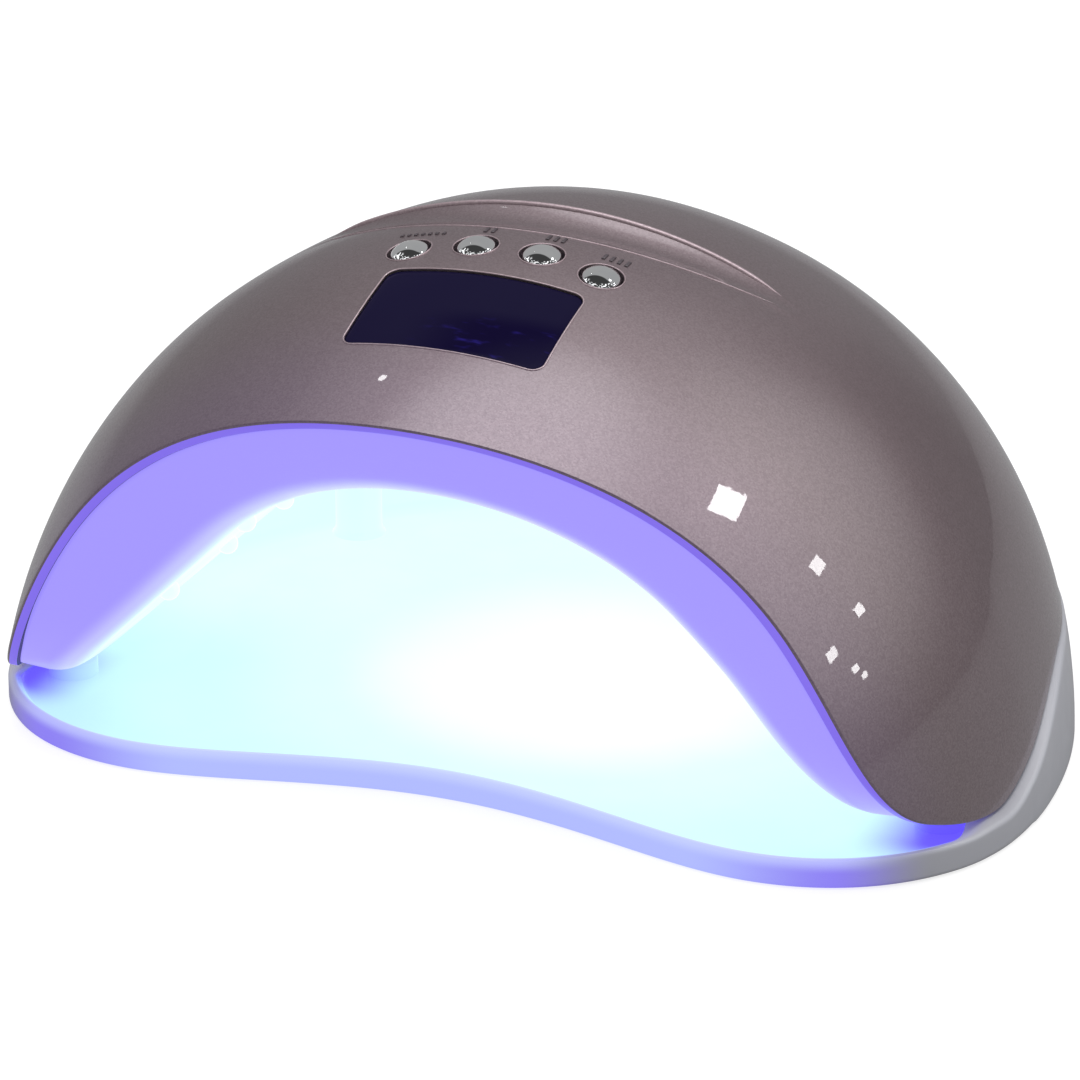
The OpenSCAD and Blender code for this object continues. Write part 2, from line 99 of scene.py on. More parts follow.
BUTTONS = ((-21.3, -42.9), (-7.3, -40.6), (7.3, -40.6), (21.3, -42.9))
CAP_R, CAP_RISE, HOLE_R = 4.2, 1.6, 4.8
STEM_R, STEM_L = 1.5, 6.3
FLANGE_OUT, FLANGE_T = 1.4, 1.0
JACK_Y, JACK_Z, JACK_R, RECESS_R = 86.0, 38.0, 5.1, 7.0
AIM_BEHIND_FRONT, AIM_BELOW_TOP = 0.0742, 0.07314       # where the camera looks, in metres


def dome_r(y, d=0.0):
    """Radius of the dome at y, for the surface moved d outwards along its normal."""
    y = np.asarray(y, float)
    front = y < DOME_Y
    span = np.where(front, DOME_FRONT, DOME_REAR) + d
    power = np.where(front, FRONT_M, REAR_M)
    u = np.clip(np.abs(y - DOME_Y) / span, 0, 1)
    return (DOME_R + d) * (1 - u ** power) ** (1 / power)


def dome_point(x, y):
    """Point of the dome above (x, y)."""
    r = dome_r(y)
    return np.array([x, y, AXIS_Z + math.sqrt(max(float(r * r - x * x), 0.0))])


def dome_normal(x, y):
    """Outward normal of the dome above (x, y)."""
    h = 0.01
    r = max(float(dome_r(y)), abs(x) + 0.01)
    slope = float(dome_r(y + h) - dome_r(y - h)) / (2 * h)
    n = np.array([x / r, -slope, math.sqrt(max(r * r - x * x, 0.0)) / r])
    return n / np.linalg.norm(n)


def bezier_line(curves, per_curve, inset=0.0):
    """Points along a chain of Bezier curves, moved inset to the left of the direction of travel."""
    out = []
    for k, c in enumerate(curves):
        p0, p1, p2, p3 = (np.array(p, float) for p in c)
        t = np.linspace(0, 1, per_curve + 1)[(1 if k else 0):, None]
        p = (1 - t) ** 3 * p0 + 3 * t * (1 - t) ** 2 * p1 + 3 * t * t * (1 - t) * p2 + t ** 3 * p3
        v = (1 - t) ** 2 * (p1 - p0) + 2 * t * (1 - t) * (p2 - p1) + t * t * (p3 - p2)
        v /= np.linalg.norm(v, axis=1)[:, None]
        out.append(p + inset * np.column_stack([-v[:, 1], v[:, 0]]))
    return np.concatenate(out)


def dome_axes(x, y):
    """A point of the dome, the directions across and up the dome from there, and the normal."""
    n = dome_normal(x, y)
    u = np.cross([0, 1.0, 0], n)
    u /= np.linalg.norm(u)
    return dome_point(x, y), u, np.cross(n, u), n


def smooth(t):
    """0 to 1 with level ends."""
    t = np.clip(t, 0, 1)
    return t * t * (3 - 2 * t)


def smooth_min(a, b, k):
    """The smaller of a and b, blended over a width of about k."""
    h = np.clip(0.5 + 0.5 * (b - a) / k, 0, 1)
    return b * (1 - h) + a * h - k * h * (1 - h)


def smooth_max(a, b, k):
    return -smooth_min(-a, -b, k)


def last_inside(inside, lo, hi):
    """Bisects between lo, where inside(lo) holds, and hi, where it doesn't."""
    for _ in range(40):
        mid = (lo + hi) / 2
        held = inside(mid)
        lo, hi = np.where(held, mid, lo), np.where(held, hi, mid)
    return lo


def run_along(points):
    """Distance of each point from the first, along the line through them."""
    return np.concatenate([[0], np.cumsum(np.linalg.norm(np.diff(points, axis=0), axis=1))])


def half_loop(inset, depth, count):
    """Right half of the lamp's edge, from the crown round the foot to the back, on the dome moved depth
    inwards, inset from the edge. Evenly spaced points with x = 0 at both ends."""
    line = bezier_line(EDGE_CURVES, 160, inset)
    y, z = line[:, 0], line[:, 1]
    gap = dome_r(y, -depth) - (z - AXIS_Z)
    inside = np.where(gap > 0)[0]
    first, last = inside[0], inside[-1]

    def cross(a, b):
        s = gap[a] / (gap[a] - gap[b])
        return line[a] + s * (line[b] - line[a])
    start, end = cross(first - 1, first), cross(last, last + 1)
    # Extra points close to both ends, where x grows fastest
    near = np.linspace(0, 1, 12)[1:-1, None] ** 2
    mid = np.concatenate([
        [start], start + near * (line[first] - start), line[first:last + 1],
        (end + near * (line[last] - end))[::-1], [end],
    ])
    r = dome_r(mid[:, 0], -depth)
    x = np.sqrt(np.clip(r * r - (mid[:, 1] - AXIS_Z) ** 2, 0, None))
    x[0] = x[-1] = 0
    points = np.column_stack([x, mid])
    run = run_along(points)
    at = np.linspace(0, run[-1], count)
    return np.column_stack([np.interp(at, run, points[:, k]) for k in range(3)])


def full_loop(half):
    """Closes a right half into a loop by mirroring it."""
    left = half[-2:0:-1] * [-1, 1, 1]
    return np.concatenate([half, left])


# ---- Mesh building ----

def store_past_lip(mesh, values):
    """Keeps with each vertex how far inside the lit part it is, for the materials to read."""
    mesh.attributes.new("past_lip", "FLOAT", "POINT").data.foreach_set("value", values)


def new_object(name, mesh):
    for p in mesh.polygons:
        p.use_smooth = True
    obj = bpy.data.objects.new(name, mesh)
    bpy.context.scene.collection.objects.link(obj)
    return obj


def mesh_object(name, points, faces, past_lip=None):
    """Object from points in millimetres, welded and with its faces turned outwards."""
    mesh = bpy.data.meshes.new(name)
    mesh.from_pydata([tuple(p) for p in np.asarray(points) * MM], [], faces)
    if past_lip is not None:
        store_past_lip(mesh, past_lip)
    mesh.validate()
    work = bmesh.new()
    work.from_mesh(mesh)
    bmesh.ops.remove_doubles(work, verts=work.verts, dist=2e-6)
    bmesh.ops.recalc_face_normals(work, faces=work.faces)
    work.to_mesh(mesh)
    work.free()
    return new_object(name, mesh)


def ring_faces(rings, count, closed_rings=False):
    """Quads between successive closed rings of count points each."""
    faces = []
    for i in range(rings if closed_rings else rings - 1):
        a, b = i * count, ((i + 1) % rings) * count
        for j in range(count):
            k = (j + 1) % count
            faces.append((a + j, a + k, b + k, b + j))
    return faces


def loft(name, rings, closed_rings=False):
    """Skin over closed rings of points, all with the same count."""
    rings = [np.asarray(r, float) for r in rings]
    return mesh_object(name, np.concatenate(rings), ring_faces(len(rings), len(rings[0]), closed_rings))


def lathe(name, profile, place, axis, turns=64):
    """Turns a profile of (radius, height) points about an axis through place."""
    axis = np.asarray(axis, float) / np.linalg.norm(axis)
    side = np.cross(axis, [0, 1, 0] if abs(axis[1]) < 0.9 else [1, 0, 0])
    side /= np.linalg.norm(side)
    other = np.cross(axis, side)
    a = np.linspace(0, 2 * math.pi, turns, endpoint=False)[:, None]
    rings = [place + h * axis + r * (np.cos(a) * side + np.sin(a) * other) for r, h in profile]
    return loft(name, rings)


def to_point(ring, point=None):
    """A ring's points all moved to its middle, or to the point given, which closes a loft there."""
    return np.repeat([ring.mean(0) if point is None else point], len(ring), 0)


def arc(cx, cy, r, start, stop, steps):
    a = np.radians(np.linspace(start, stop, steps + 1))
    return [(cx + r * math.cos(t), cy + r * math.sin(t)) for t in a]


def cut(obj, cutters):
    """Takes the cutters away from the object, and deletes them."""
    for c in cutters:
        m = obj.modifiers.new("cut", "BOOLEAN")
        m.operation = "DIFFERENCE"
        m.solver = "EXACT"
        m.object = c
    mesh = bpy.data.meshes.new_from_object(obj.evaluated_get(bpy.context.evaluated_depsgraph_get()))
    old = obj.data
    obj.modifiers.clear()
    obj.data = mesh
    bpy.data.meshes.remove(old)
    for c in cutters:
        bpy.data.objects.remove(c)


def join(name, objects):
    """One object out of several, at the origin."""
    work = bmesh.new()
    for o in objects:
        work.from_mesh(o.data)
    mesh = bpy.data.meshes.new(name)
    work.to_mesh(mesh)
    work.free()
    for o in objects:
        bpy.data.objects.remove(o)
    return new_object(name, mesh)


# ---- Materials ----

PAINT_TONES = ((0.215, 0.163, 0.175), (0.200, 0.150, 0.162), (0.33, 0.27, 0.285))
VIOLET = (0.34, 0.28, 1.0)          # the lamp's light on white, from its dim parts to its bright ones
LILAC = (0.50, 0.48, 1.0)
ICE = (0.60, 0.72, 1.0)
CYAN = (0.70, 0.98, 1.0)
PALE = (0.92, 1.0, 1.0)
DEEP = (0.12, 0.08, 1.0)            # in the shade under the feet
# White tray plastic painted grey, for its look in the studio's shade
UNLIT_GREY = (0.38, 0.385, 0.42)


class Nodes:
    """Short names for node calls. An input is given as a socket to link or as a value to set."""

    def __init__(self, owner, shader, place):
        owner.use_nodes = True
        self.tree = owner.node_tree
        self.shader = self.tree.nodes[shader]
        self.place = self.add("ShaderNodeTexCoord").outputs[place]

    def feed(self, socket, value):
        if isinstance(value, bpy.types.NodeSocket):
            self.tree.links.new(value, socket)
        elif socket.type == "RGBA":
            socket.default_value = (*value, 1)
        else:
            socket.default_value = value

    def add(self, kind, inputs=None, **settings):
        node = self.tree.nodes.new(kind)
        for name, value in settings.items():
            setattr(node, name, value)
        for name, value in (inputs or {}).items():
            self.feed(node.inputs[name], value)
        return node

    def set(self, **inputs):
        """Inputs of the shader itself, with _ for each space in a name."""
        for name, value in inputs.items():
            self.feed(self.shader.inputs[name.replace("_", " ")], value)

    def noise(self, scale, detail, rough=0.5, vector=None):
        inputs = {"Scale": scale, "Detail": detail, "Roughness": rough, "Vector": vector or self.place}
        return self.add("ShaderNodeTexNoise", inputs).outputs["Fac"]

    def math(self, kind, a, b=0.5):
        return self.add("ShaderNodeMath", {0: a, 1: b}, operation=kind).outputs[0]

    def times(self, a, b):
        return self.math("MULTIPLY", a, b)

    def between(self, value, lo, hi, out_lo=0.0, out_hi=1.0, kind="SMOOTHSTEP"):
        """Maps lo..hi to out_lo..out_hi."""
        inputs = {"Value": value, "From Min": lo, "From Max": hi, "To Min": out_lo, "To Max": out_hi}
        return self.add("ShaderNodeMapRange", inputs, interpolation_type=kind).outputs["Result"]

    def mix(self, share, a, b):
        """Colour a, going over to colour b as share goes from 0 to 1."""
        return self.add("ShaderNodeMix", {0: share, 6: a, 7: b}, data_type="RGBA").outputs[2]

    def ramp(self, value, stops):
        """Colour by value, through stops of (value, colour)."""
        node = self.add("ShaderNodeValToRGB", {"Fac": value})
        node.color_ramp.interpolation = "EASE"
        elements = node.color_ramp.elements
        while len(elements) < len(stops):
            elements.new(0.5)
        for element, (at, colour) in zip(elements, stops):
            element.position = at
            element.color = (*colour, 1)
        return node.outputs["Color"]

    def axis(self, letter):
        return self.add("ShaderNodeSeparateXYZ", {0: self.place}).outputs[letter]

    def bump(self, height, strength, distance):
        inputs = {"Height": height, "Strength": strength, "Distance": distance}
        return self.add("ShaderNodeBump", inputs).outputs["Normal"]


class Look(Nodes):
    """A new material."""

    def __init__(self, name):
        self.mat = bpy.data.materials.new(name)
        super().__init__(self.mat, "Principled BSDF", "Object")

    def tones(self, scale, detail, one, other):
        """Two colours in soft patches."""
        return self.mix(self.between(self.noise(scale, detail), 0.3, 0.7), one, other)

    def gloss(self, scale, detail, lo, hi):
        """Roughness that drifts between two values."""
        self.set(Roughness=self.between(self.noise(scale, detail), 0.3, 0.7, lo, hi))

    def past_lip(self):
        return self.add("ShaderNodeAttribute", attribute_name="past_lip").outputs["Fac"]


def paint_material(name, light):
    """Metallic lacquer under a clear coat, with painted violet light on the lip. Its colours are times light,
    and above 1 that paints a highlight.
    """
    n = Look(name)
    cells = n.add("ShaderNodeTexVoronoi", {"Scale": 3000, "Vector": n.place})
    shade = n.add("ShaderNodeSeparateColor", {0: cells.outputs["Color"]})
    cloud = n.between(n.noise(16, 2), 0.3, 0.7)
    base, dull, flake = (tuple(light * c for c in tone) for tone in PAINT_TONES)
    sparkle = n.between(shade.outputs[0], 0.0, 1.0, 0.0, 0.45, "LINEAR")
    n.set(Base_Color=n.mix(sparkle, n.mix(cloud, base, dull), flake))
    # Painted violet light from the lamp, strongest at the front lip
    n.set(Emission_Color=n.mix(cloud, (0.40, 0.22, 1.0), (0.36, 0.20, 1.0)))
    n.set(Emission_Strength=n.between(n.axis("Y"), -0.058, -0.098, 0.0, 0.035))
    n.set(Metallic=0.75, Coat_Weight=1.0, Coat_Roughness=0.02, Coat_IOR=1.5)
    n.set(Roughness=n.between(shade.outputs[1], 0, 1, 0.42, 0.54, "LINEAR"))
    n.set(Normal=n.bump(shade.outputs[2], 0.10, 0.00006))
    n.set(Coat_Normal=n.bump(n.noise(420, 1), 0.04, 0.0002))
    return n.mat


def edge_material():
    """The cut edge and inside of the shell, with a violet glow painted on towards the front for the lamp's
    light from within.
    """
    n = lit_material("lit_edge")
    n.set(Base_Color=n.tones(40, 2, (0.09, 0.07, 0.17), (0.08, 0.06, 0.16)))
    n.set(Emission_Color=n.mix(n.noise(30, 1), (0.19, 0.12, 0.84), (0.22, 0.15, 0.90)))
    front = n.between(n.axis("Y"), -0.040, -0.062)
    n.set(Emission_Strength=n.between(front, 0.0, 1.0, 0.0, 0.85))
    return n.mat


def lit_material(name):
    """White plastic under the lamp's own light: dim of itself, so that the glow sets its colour."""
    n = Look(name)
    n.set(Coat_Weight=0.15, Coat_Roughness=0.2)
    n.gloss(90, 3, 0.32, 0.42)
    n.set(Normal=n.bump(n.noise(500, 2), 0.03, 0.0001))
    return n


def lining_material():
    """Painted glow of the lamp's light: violet on the recessed band, pale cyan in the cavity."""
    n = lit_material("lit_lining")
    x, z = n.axis("X"), n.axis("Z")
    glow = n.between(n.past_lip(), -9.0, 14.0, 0.0, 1.0, "LINEAR")
    stops = ((0.0, VIOLET), (0.10, VIOLET), (0.36, LILAC), (0.58, ICE), (0.8, CYAN), (1.0, CYAN))
    inside = n.times(n.between(x, -0.065, 0.01), n.between(glow, 0.6, 1.0))
    colour = n.mix(inside, n.ramp(glow, stops), PALE)
    # Painted lilac light on the low part of the band
    low = n.between(z, 0.035, 0.005, 0.0, 0.35)
    colour = n.mix(n.times(low, n.between(glow, 0.3, 0.0)), colour, LILAC)
    n.set(Emission_Color=colour, Emission_Strength=n.between(glow, 0.1, 0.9, 0.97, 0.95))
    n.set(Base_Color=n.mix(glow, (0.08, 0.07, 0.14), (0.06, 0.07, 0.08)))
    return n.mat


def tray_material():
    """Painted glow on the floor and painted blue shade under the shell's feet, in a wall painted violet by
    the glow in front and grey behind.
    """
    n = lit_material("lit_tray")
    x, y, z = n.axis("X"), n.axis("Y"), n.axis("Z")
    floor = n.past_lip()
    # Painted pool of glow, brighter towards the middle and the back
    off_x, off_y = n.math("ADD", x, -0.005), n.math("ADD", y, 0.005)
    reach = n.math("SQRT", n.math("ADD", n.times(off_x, off_x), n.times(off_y, off_y)))
    stops = ((0.0, (0.50, 0.84, 1.0)), (0.3, (0.57, 0.92, 1.0)), (0.65, (0.66, 0.97, 1.0)),
             (1.0, (0.88, 1.0, 1.0)))
    colour = n.ramp(n.between(reach, 0.115, 0.03, 0.0, 1.0, "LINEAR"), stops)
    colour = n.mix(n.between(y, -0.035, 0.01, 0.0, 0.85), colour, (0.72, 0.97, 1.0))
    colour = n.mix(n.between(reach, 0.06, 0.02), colour, (0.90, 1.0, 1.0))
    # Painted blue shade under the shell's feet
    under = n.math("ABSOLUTE", n.math("ADD", x, 0.0035))
    shade = n.times(n.between(under, 0.086, 0.103), n.between(y, -0.073, -0.060))
    shade = n.times(shade, n.between(y, -0.034, -0.047))
    colour = n.mix(shade, colour, DEEP)
    # Painted violet glow on the front of the wall, paler in the middle and towards its top
    violet = n.times(n.between(x, 0.104, 0.086), n.between(x, -0.113, -0.090))
    front = n.times(n.between(y, -0.045, -0.066), violet)
    middle = n.times(n.between(n.math("ABSOLUTE", x), 0.090, 0.055), 0.85)
    lit_wall = n.mix(middle, (0.23, 0.18, 0.85), (0.44, 0.52, 1.0))
    lit_wall = n.mix(n.between(z, 0.0035, 0.0066, 0.0, 0.55), lit_wall, (0.60, 0.68, 1.0))
    wall = n.mix(front, (0.0, 0.0, 0.0), lit_wall)
    n.set(Emission_Color=n.mix(floor, wall, colour), Emission_Strength=1.0)
    n.set(Base_Color=n.mix(n.math("MAXIMUM", front, floor), UNLIT_GREY, (0.06, 0.06, 0.09)))
    return n.mat


def window_material():
    """Navy, with a darker indigo corner where a faint glow is painted on for the lit module below."""
    n = Look("smoked_window")
    x, y = n.axis("X"), n.axis("Y")
    curve = n.math("SUBTRACT", y, n.times(n.math("ADD", x, 0.020), 0.12))
    low = n.times(n.between(curve, -0.0650, -0.0705), n.between(x, -0.012, 0.006))
    n.set(Base_Color=n.mix(low, (0.0065, 0.0050, 0.022), (0.0020, 0.0008, 0.012)))
    n.set(Specular_IOR_Level=0.035)
    n.gloss(300, 2, 0.05, 0.09)
    stretched = n.add("ShaderNodeMapping", {"Vector": n.place, "Scale": (0.35, 1.0, 1.0)})
    fine = n.noise(420, 2, 0.6, stretched.outputs["Vector"])
    # Faint streaks of painted glow in that corner
    glow_streak = n.times(n.between(fine, 0.56, 0.74), low)
    n.set(Emission_Color=n.mix(glow_streak, (0.004, 0.001, 0.045), (0.03, 0.02, 0.28)))
    n.set(Emission_Strength=n.math("ADD", n.times(low, 0.15), n.times(glow_streak, 0.35)))
    return n.mat


def chrome_material():
    """Mirror bright."""
    n = Look("chrome_caps")
    n.set(Base_Color=n.tones(200, 2, (0.86, 0.87, 0.88), (0.80, 0.81, 0.83)))
    n.set(Metallic=1.0, Roughness=0.0)
    return n.mat


def bead_material():
    """Clear lenses, lit."""
    n = Look("led_lens")
    n.set(Base_Color=n.mix(n.noise(400, 2), (0.10, 0.12, 0.14), (0.12, 0.14, 0.16)))
    n.gloss(500, 2, 0.05, 0.15)
    n.set(Emission_Color=n.mix(n.noise(300, 1), (0.74, 0.98, 1.0), (0.82, 1.0, 1.0)), Emission_Strength=1.0)
    return n.mat


def plain_material(name, dark, light, rough, scale=200, metallic=0.0):
    """Two close tones, uneven gloss and a fine surface grain."""
    n = Look(name)
    n.set(Base_Color=n.tones(scale / 4, 3, dark, light), Metallic=metallic)
    n.gloss(scale, 3, max(rough - 0.08, 0.02), rough + 0.08)
    n.set(Normal=n.bump(n.noise(scale * 4, 2), 0.08, 0.0002))
    return n.mat


def board_material(name, mask, track):
    """Solder mask with a faint net of tracks under it."""
    n = Look(name)
    grid = n.add("ShaderNodeTexBrick", {"Vector": n.place, "Scale": 260, "Mortar Size": 0.06})
    n.set(Base_Color=n.mix(grid.outputs["Fac"], mask, track))
    n.gloss(300, 3, 0.25, 0.4)
    n.set(Normal=n.bump(grid.outputs["Fac"], 0.15, 0.0001))
    return n.mat


# ---- Outer shell ----

CREST_BLEND = 0.5       # width of the blends round the crescent
PAINT, EDGE, INSIDE, MARK, HIGHLIGHT_TRIM = range(5)      # material slots of the shell


def torus_frame():
    """Centre, in-plane up direction and major radius of the crescent's groove."""
    tip = dome_point(TIP_X, TIP_Y) + GROOVE_RHO * dome_normal(TIP_X, TIP_Y)
    top = np.array([0, GROOVE_Y, float(dome_r(GROOVE_Y)) + AXIS_Z - GROOVE_DIP + GROOVE_RHO])
    rise = math.hypot(top[1] - tip[1], top[2] - tip[2])
    major = (tip[0] ** 2 + rise ** 2) / (2 * rise)
    lean = math.atan2(tip[1] - top[1], top[2] - tip[2])
    up = np.array([0, -math.sin(lean), math.cos(lean)])
    return top - major * up, up, major


GROOVE_CENTRE, GROOVE_UP, GROOVE_MAJOR = torus_frame()
GROOVE_AXIS = np.cross([1, 0, 0], GROOVE_UP)


def groove_gap(p):
    """Distance from points to the groove's surface, positive outside it."""
    q = p - GROOVE_CENTRE
    along = q @ GROOVE_AXIS
    flat = q - along[..., None] * GROOVE_AXIS
    return np.hypot(np.linalg.norm(flat, axis=-1) - GROOVE_MAJOR, along) - GROOVE_RHO


def ridge_r(angle, y):
    """Radius, about the dome's axis, of the raised crown behind the groove."""
    tip_z = dome_point(TIP_X, TIP_Y)[2]
    top_z = float(dome_r(TIP_Y)) + AXIS_Z + RIDGE_UP
    mid_z = (top_z ** 2 - tip_z ** 2 - TIP_X ** 2) / (2 * (top_z - tip_z))
    s = (y - RIDGE_Y) / RIDGE_RUN
    r = top_z - mid_z + dome_r(y) - float(dome_r(TIP_Y)) - 2.2 * np.clip(s, 0, None) ** 1.5
    lift = mid_z - AXIS_Z
    return lift * np.sin(angle) + np.sqrt(np.clip(r * r - (lift * np.cos(angle)) ** 2, 0, None))


def crown_r(angle, y):
    """Radius of the dome with the raised crown, before the groove is cut."""
    base = dome_r(y)
    crown = smooth_max(base, ridge_r(angle, y), CREST_BLEND)
    return base + (crown - base) * smooth((y - RIDGE_Y) / 3.0 + 1.0) * smooth((60 - y) / 25)


def about_axis(r, angle, y):
    """Points at a radius and an angle about the dome's axis."""
    return np.stack([r * np.cos(angle), y, AXIS_Z + r * np.sin(angle)], -1)


def shell_r(angle, y):
    """Radius of the shell's outer surface: the crown with the crescent's groove."""
    crown = crown_r(angle, y)
    r = crown
    for _ in range(8):      # walk down the ray until it is clear of the groove
        r = r - np.clip(-groove_gap(about_axis(r, angle, y)), 0, 3)
    return smooth_min(crown, np.minimum(r, crown) + 0.12, CREST_BLEND)


def on_shell(angle, y, depth=0.0):
    """Points of the shell's outer surface, or of the plain dome moved depth inwards."""
    return about_axis(shell_r(angle, y) if depth == 0 else dome_r(y, -depth), angle, y)


def shell_normals(points):
    """Analytic normals of the outer surface at points on it."""
    angle = np.arctan2(points[:, 2] - AXIS_Z, points[:, 0])
    y = points[:, 1]
    h = 0.12
    da = on_shell(angle + h / 100, y) - on_shell(angle - h / 100, y)
    dy = on_shell(angle, y + h) - on_shell(angle, y - h)
    n = np.cross(dy, da)
    return n / np.linalg.norm(n, axis=1)[:, None]


def shrink_rings(loop, steps):
    """(angle, y) rings that close in from a loop of points to one point on the top of the dome."""
    angle = np.arctan2(loop[:, 2] - AXIS_Z, loop[:, 0])
    y = loop[:, 1]
    top_y = 8.0
    return [(angle + (math.pi / 2 - angle) * t, y + (top_y - y) * t)
            for t in np.linspace(0, 1, steps + 1)[1:]]


def shell_skin():
    """Closed skin of the shell with rounded lips, before anything is cut out of it."""
    count = 260
    outer_round, inner_round = 0.7, 0.35
    loops = []
    for a in np.radians(np.linspace(0, 90, 7)):
        inset, depth = outer_round * (1 - math.sin(a)), outer_round * (1 - math.cos(a))
        loops.append(full_loop(half_loop(inset, depth, count)))
    for a in np.radians(np.linspace(0, 90, 4)):
        inset, depth = inner_round * (1 - math.cos(a)), SHELL_T - inner_round * (1 - math.sin(a))
        loops.append(full_loop(half_loop(inset, depth, count)))
    outer = [on_shell(a, y) for a, y in shrink_rings(loops[0], 74)]
    inner = [on_shell(a, y, SHELL_T) for a, y in shrink_rings(loops[-1], 24)]
    return loft("outer_shell_skin", outer[::-1] + loops + inner)


def refine_crescent(obj):
    """Finer mesh along the crescent, then every vertex round it back onto the exact surface."""
    work = bmesh.new()
    work.from_mesh(obj.data)

    def near_crescent(face):
        c = np.array(face.calc_center_median()) / MM
        angle = math.atan2(c[2] - AXIS_Z, c[0])
        skin = abs(math.hypot(c[0], c[2] - AXIS_Z) - float(dome_r(c[1]))) < 2.2
        return skin and abs(c[0]) < TIP_X + 6 and -36 < c[1] < -6 and angle > 0
    faces = [f for f in work.faces if near_crescent(f) and f.normal.z > 0.3]
    edges = list({e for f in faces for e in f.edges})
    bmesh.ops.subdivide_edges(work, edges=edges, cuts=2, use_grid_fill=True)
    work.to_mesh(obj.data)
    work.free()
    co = np.array([v.co for v in obj.data.vertices]) / MM
    x, y, z = co.T
    outside = np.hypot(x, z - AXIS_Z) > dome_r(y) - 1.9
    near = outside & (np.abs(x) < TIP_X + 9) & (y > -40) & (y < 62) & (z > 60)
    co[near] = on_shell(np.arctan2(z - AXIS_Z, x)[near], y[near])
    obj.data.vertices.foreach_set("co", (co * MM).astype(np.float32).ravel())
    obj.data.update()


def build_shell(looks):
    """The shell with its openings, trim and marks. The looks are in the order of the slots."""
    obj = shell_skin()
    refine_crescent(obj)
    cut(obj, [window_cutter(), *button_cutters(), jack_cutter()])
    trim, marks = shell_trim(), button_marks()
    skin_faces = len(obj.data.polygons)
    trim_end = skin_faces + sum(len(m.data.polygons) for m in trim)
    obj = join("outer_shell_skin", [obj, *trim, *marks])
    shade_shell(obj)
    for look in looks:
        obj.data.materials.append(look)
    for p in obj.data.polygons:
        x, y, z = np.array(p.center) / MM
        slope = float(dome_r(y + 0.1) - dome_r(y - 0.1)) / 0.2
        depth = (float(dome_r(y)) - math.hypot(x, z - AXIS_Z)) / math.hypot(1, slope)
        panel = y > -84 and z > 88 and abs(x) < 70
        if p.index >= trim_end:
            p.material_index = MARK
        # Ribs get the lacquer at twice the brightness, a painted highlight along them
        elif p.index >= skin_faces:
            p.material_index = HIGHLIGHT_TRIM
        elif depth > SHELL_T - 0.25:
            p.material_index = INSIDE
        elif depth > 0.5 and not panel and y < 70:
            p.material_index = EDGE
    return obj


def shade_shell(obj):
    """Exact normals on the outer skin, and smooth or flat ones elsewhere, by the angle."""
    mesh = obj.data
    co = np.array([v.co for v in mesh.vertices]) / MM
    x, y, z = co.T
    angle = np.arctan2(z - AXIS_Z, x)
    skin = np.abs(np.hypot(x, z - AXIS_Z) - shell_r(angle, y)) < 0.06
    exact = shell_normals(co)
    soft = np.array([corner.vector for corner in mesh.corner_normals])
    normals = []
    for p in mesh.polygons:
        flat = np.array(p.normal)
        for corner, v in zip(p.loop_indices, p.vertices):
            if skin[v] and flat @ exact[v] > 0.85:
                normals.append(exact[v])
            elif flat @ soft[corner] > 0.8:
                normals.append(soft[corner])
            else:
                normals.append(flat)
    mesh.normals_split_custom_set([tuple(n) for n in normals])


def window_outline(grow):
    """The window's outline as (u, v) points, anticlockwise: a rounded rectangle with an arched upper edge."""
    w, h, r = WINDOW_W + 2 * grow, WINDOW_H + 2 * grow, WINDOW_ROUND + grow
    out = []
    for sx, sy, start in ((1, 1, 0), (-1, 1, 90), (-1, -1, 180), (1, -1, 270)):
        out += arc(sx * (w / 2 - r), sy * (h / 2 - r), r, start, start + 90, 10)
    longest = 1.2
    dense = []
    for i, p in enumerate(out):
        q = out[(i + 1) % len(out)]
        parts = max(1, int(math.dist(p, q) / longest))
        for k in range(parts):
            dense.append((p[0] + (q[0] - p[0]) * k / parts, p[1] + (q[1] - p[1]) * k / parts))
    dense = np.array(dense)
    upper = np.clip(2 * dense[:, 1] / h, 0, 1)
    dense[:, 1] += WINDOW_ARCH * upper * (1 - (2 * dense[:, 0] / w) ** 2)
    return dense


def spread(line, o, u, v):
    """Points at (u, v) of the plane through o."""
    return o + line[:, :1] * u + line[:, 1:] * v


def window_cutter():
    o, u, v, n = dome_axes(0, WINDOW_Y)
    rings = [spread(window_outline(0), o, u, v) + h * n for h in (-9, 9)]
    return loft("cut_window", [to_point(rings[0]), *rings, to_point(rings[1])])


def button_cutters():
    profile = [(0, -6), (HOLE_R, -6), (HOLE_R, 6), (0, 6)]
    return [lathe("cut_button", profile, dome_point(x, y), dome_normal(x, y)) for x, y in BUTTONS]


def jack_cutter():
    """Round recess at the back with the socket's hole at its bottom."""
    floor = 2.5
    profile = [(0, -20), (JACK_R, -20), (JACK_R, floor), (RECESS_R, floor), (RECESS_R, 30), (0, 30)]
    return lathe("cut_jack", profile, np.array([0, JACK_Y, JACK_Z]), [0, 1.0, 0])


def drop_to_dome(points, n, depth):
    """Moves points along -n until they are on the dome moved depth inwards."""
    p = points.copy()
    for _ in range(12):
        gap = np.hypot(p[:, 0], p[:, 2] - AXIS_Z) - dome_r(p[:, 1], -depth)
        p = p - gap[:, None] * n
    return p


# ---- Window, buttons, marks ----

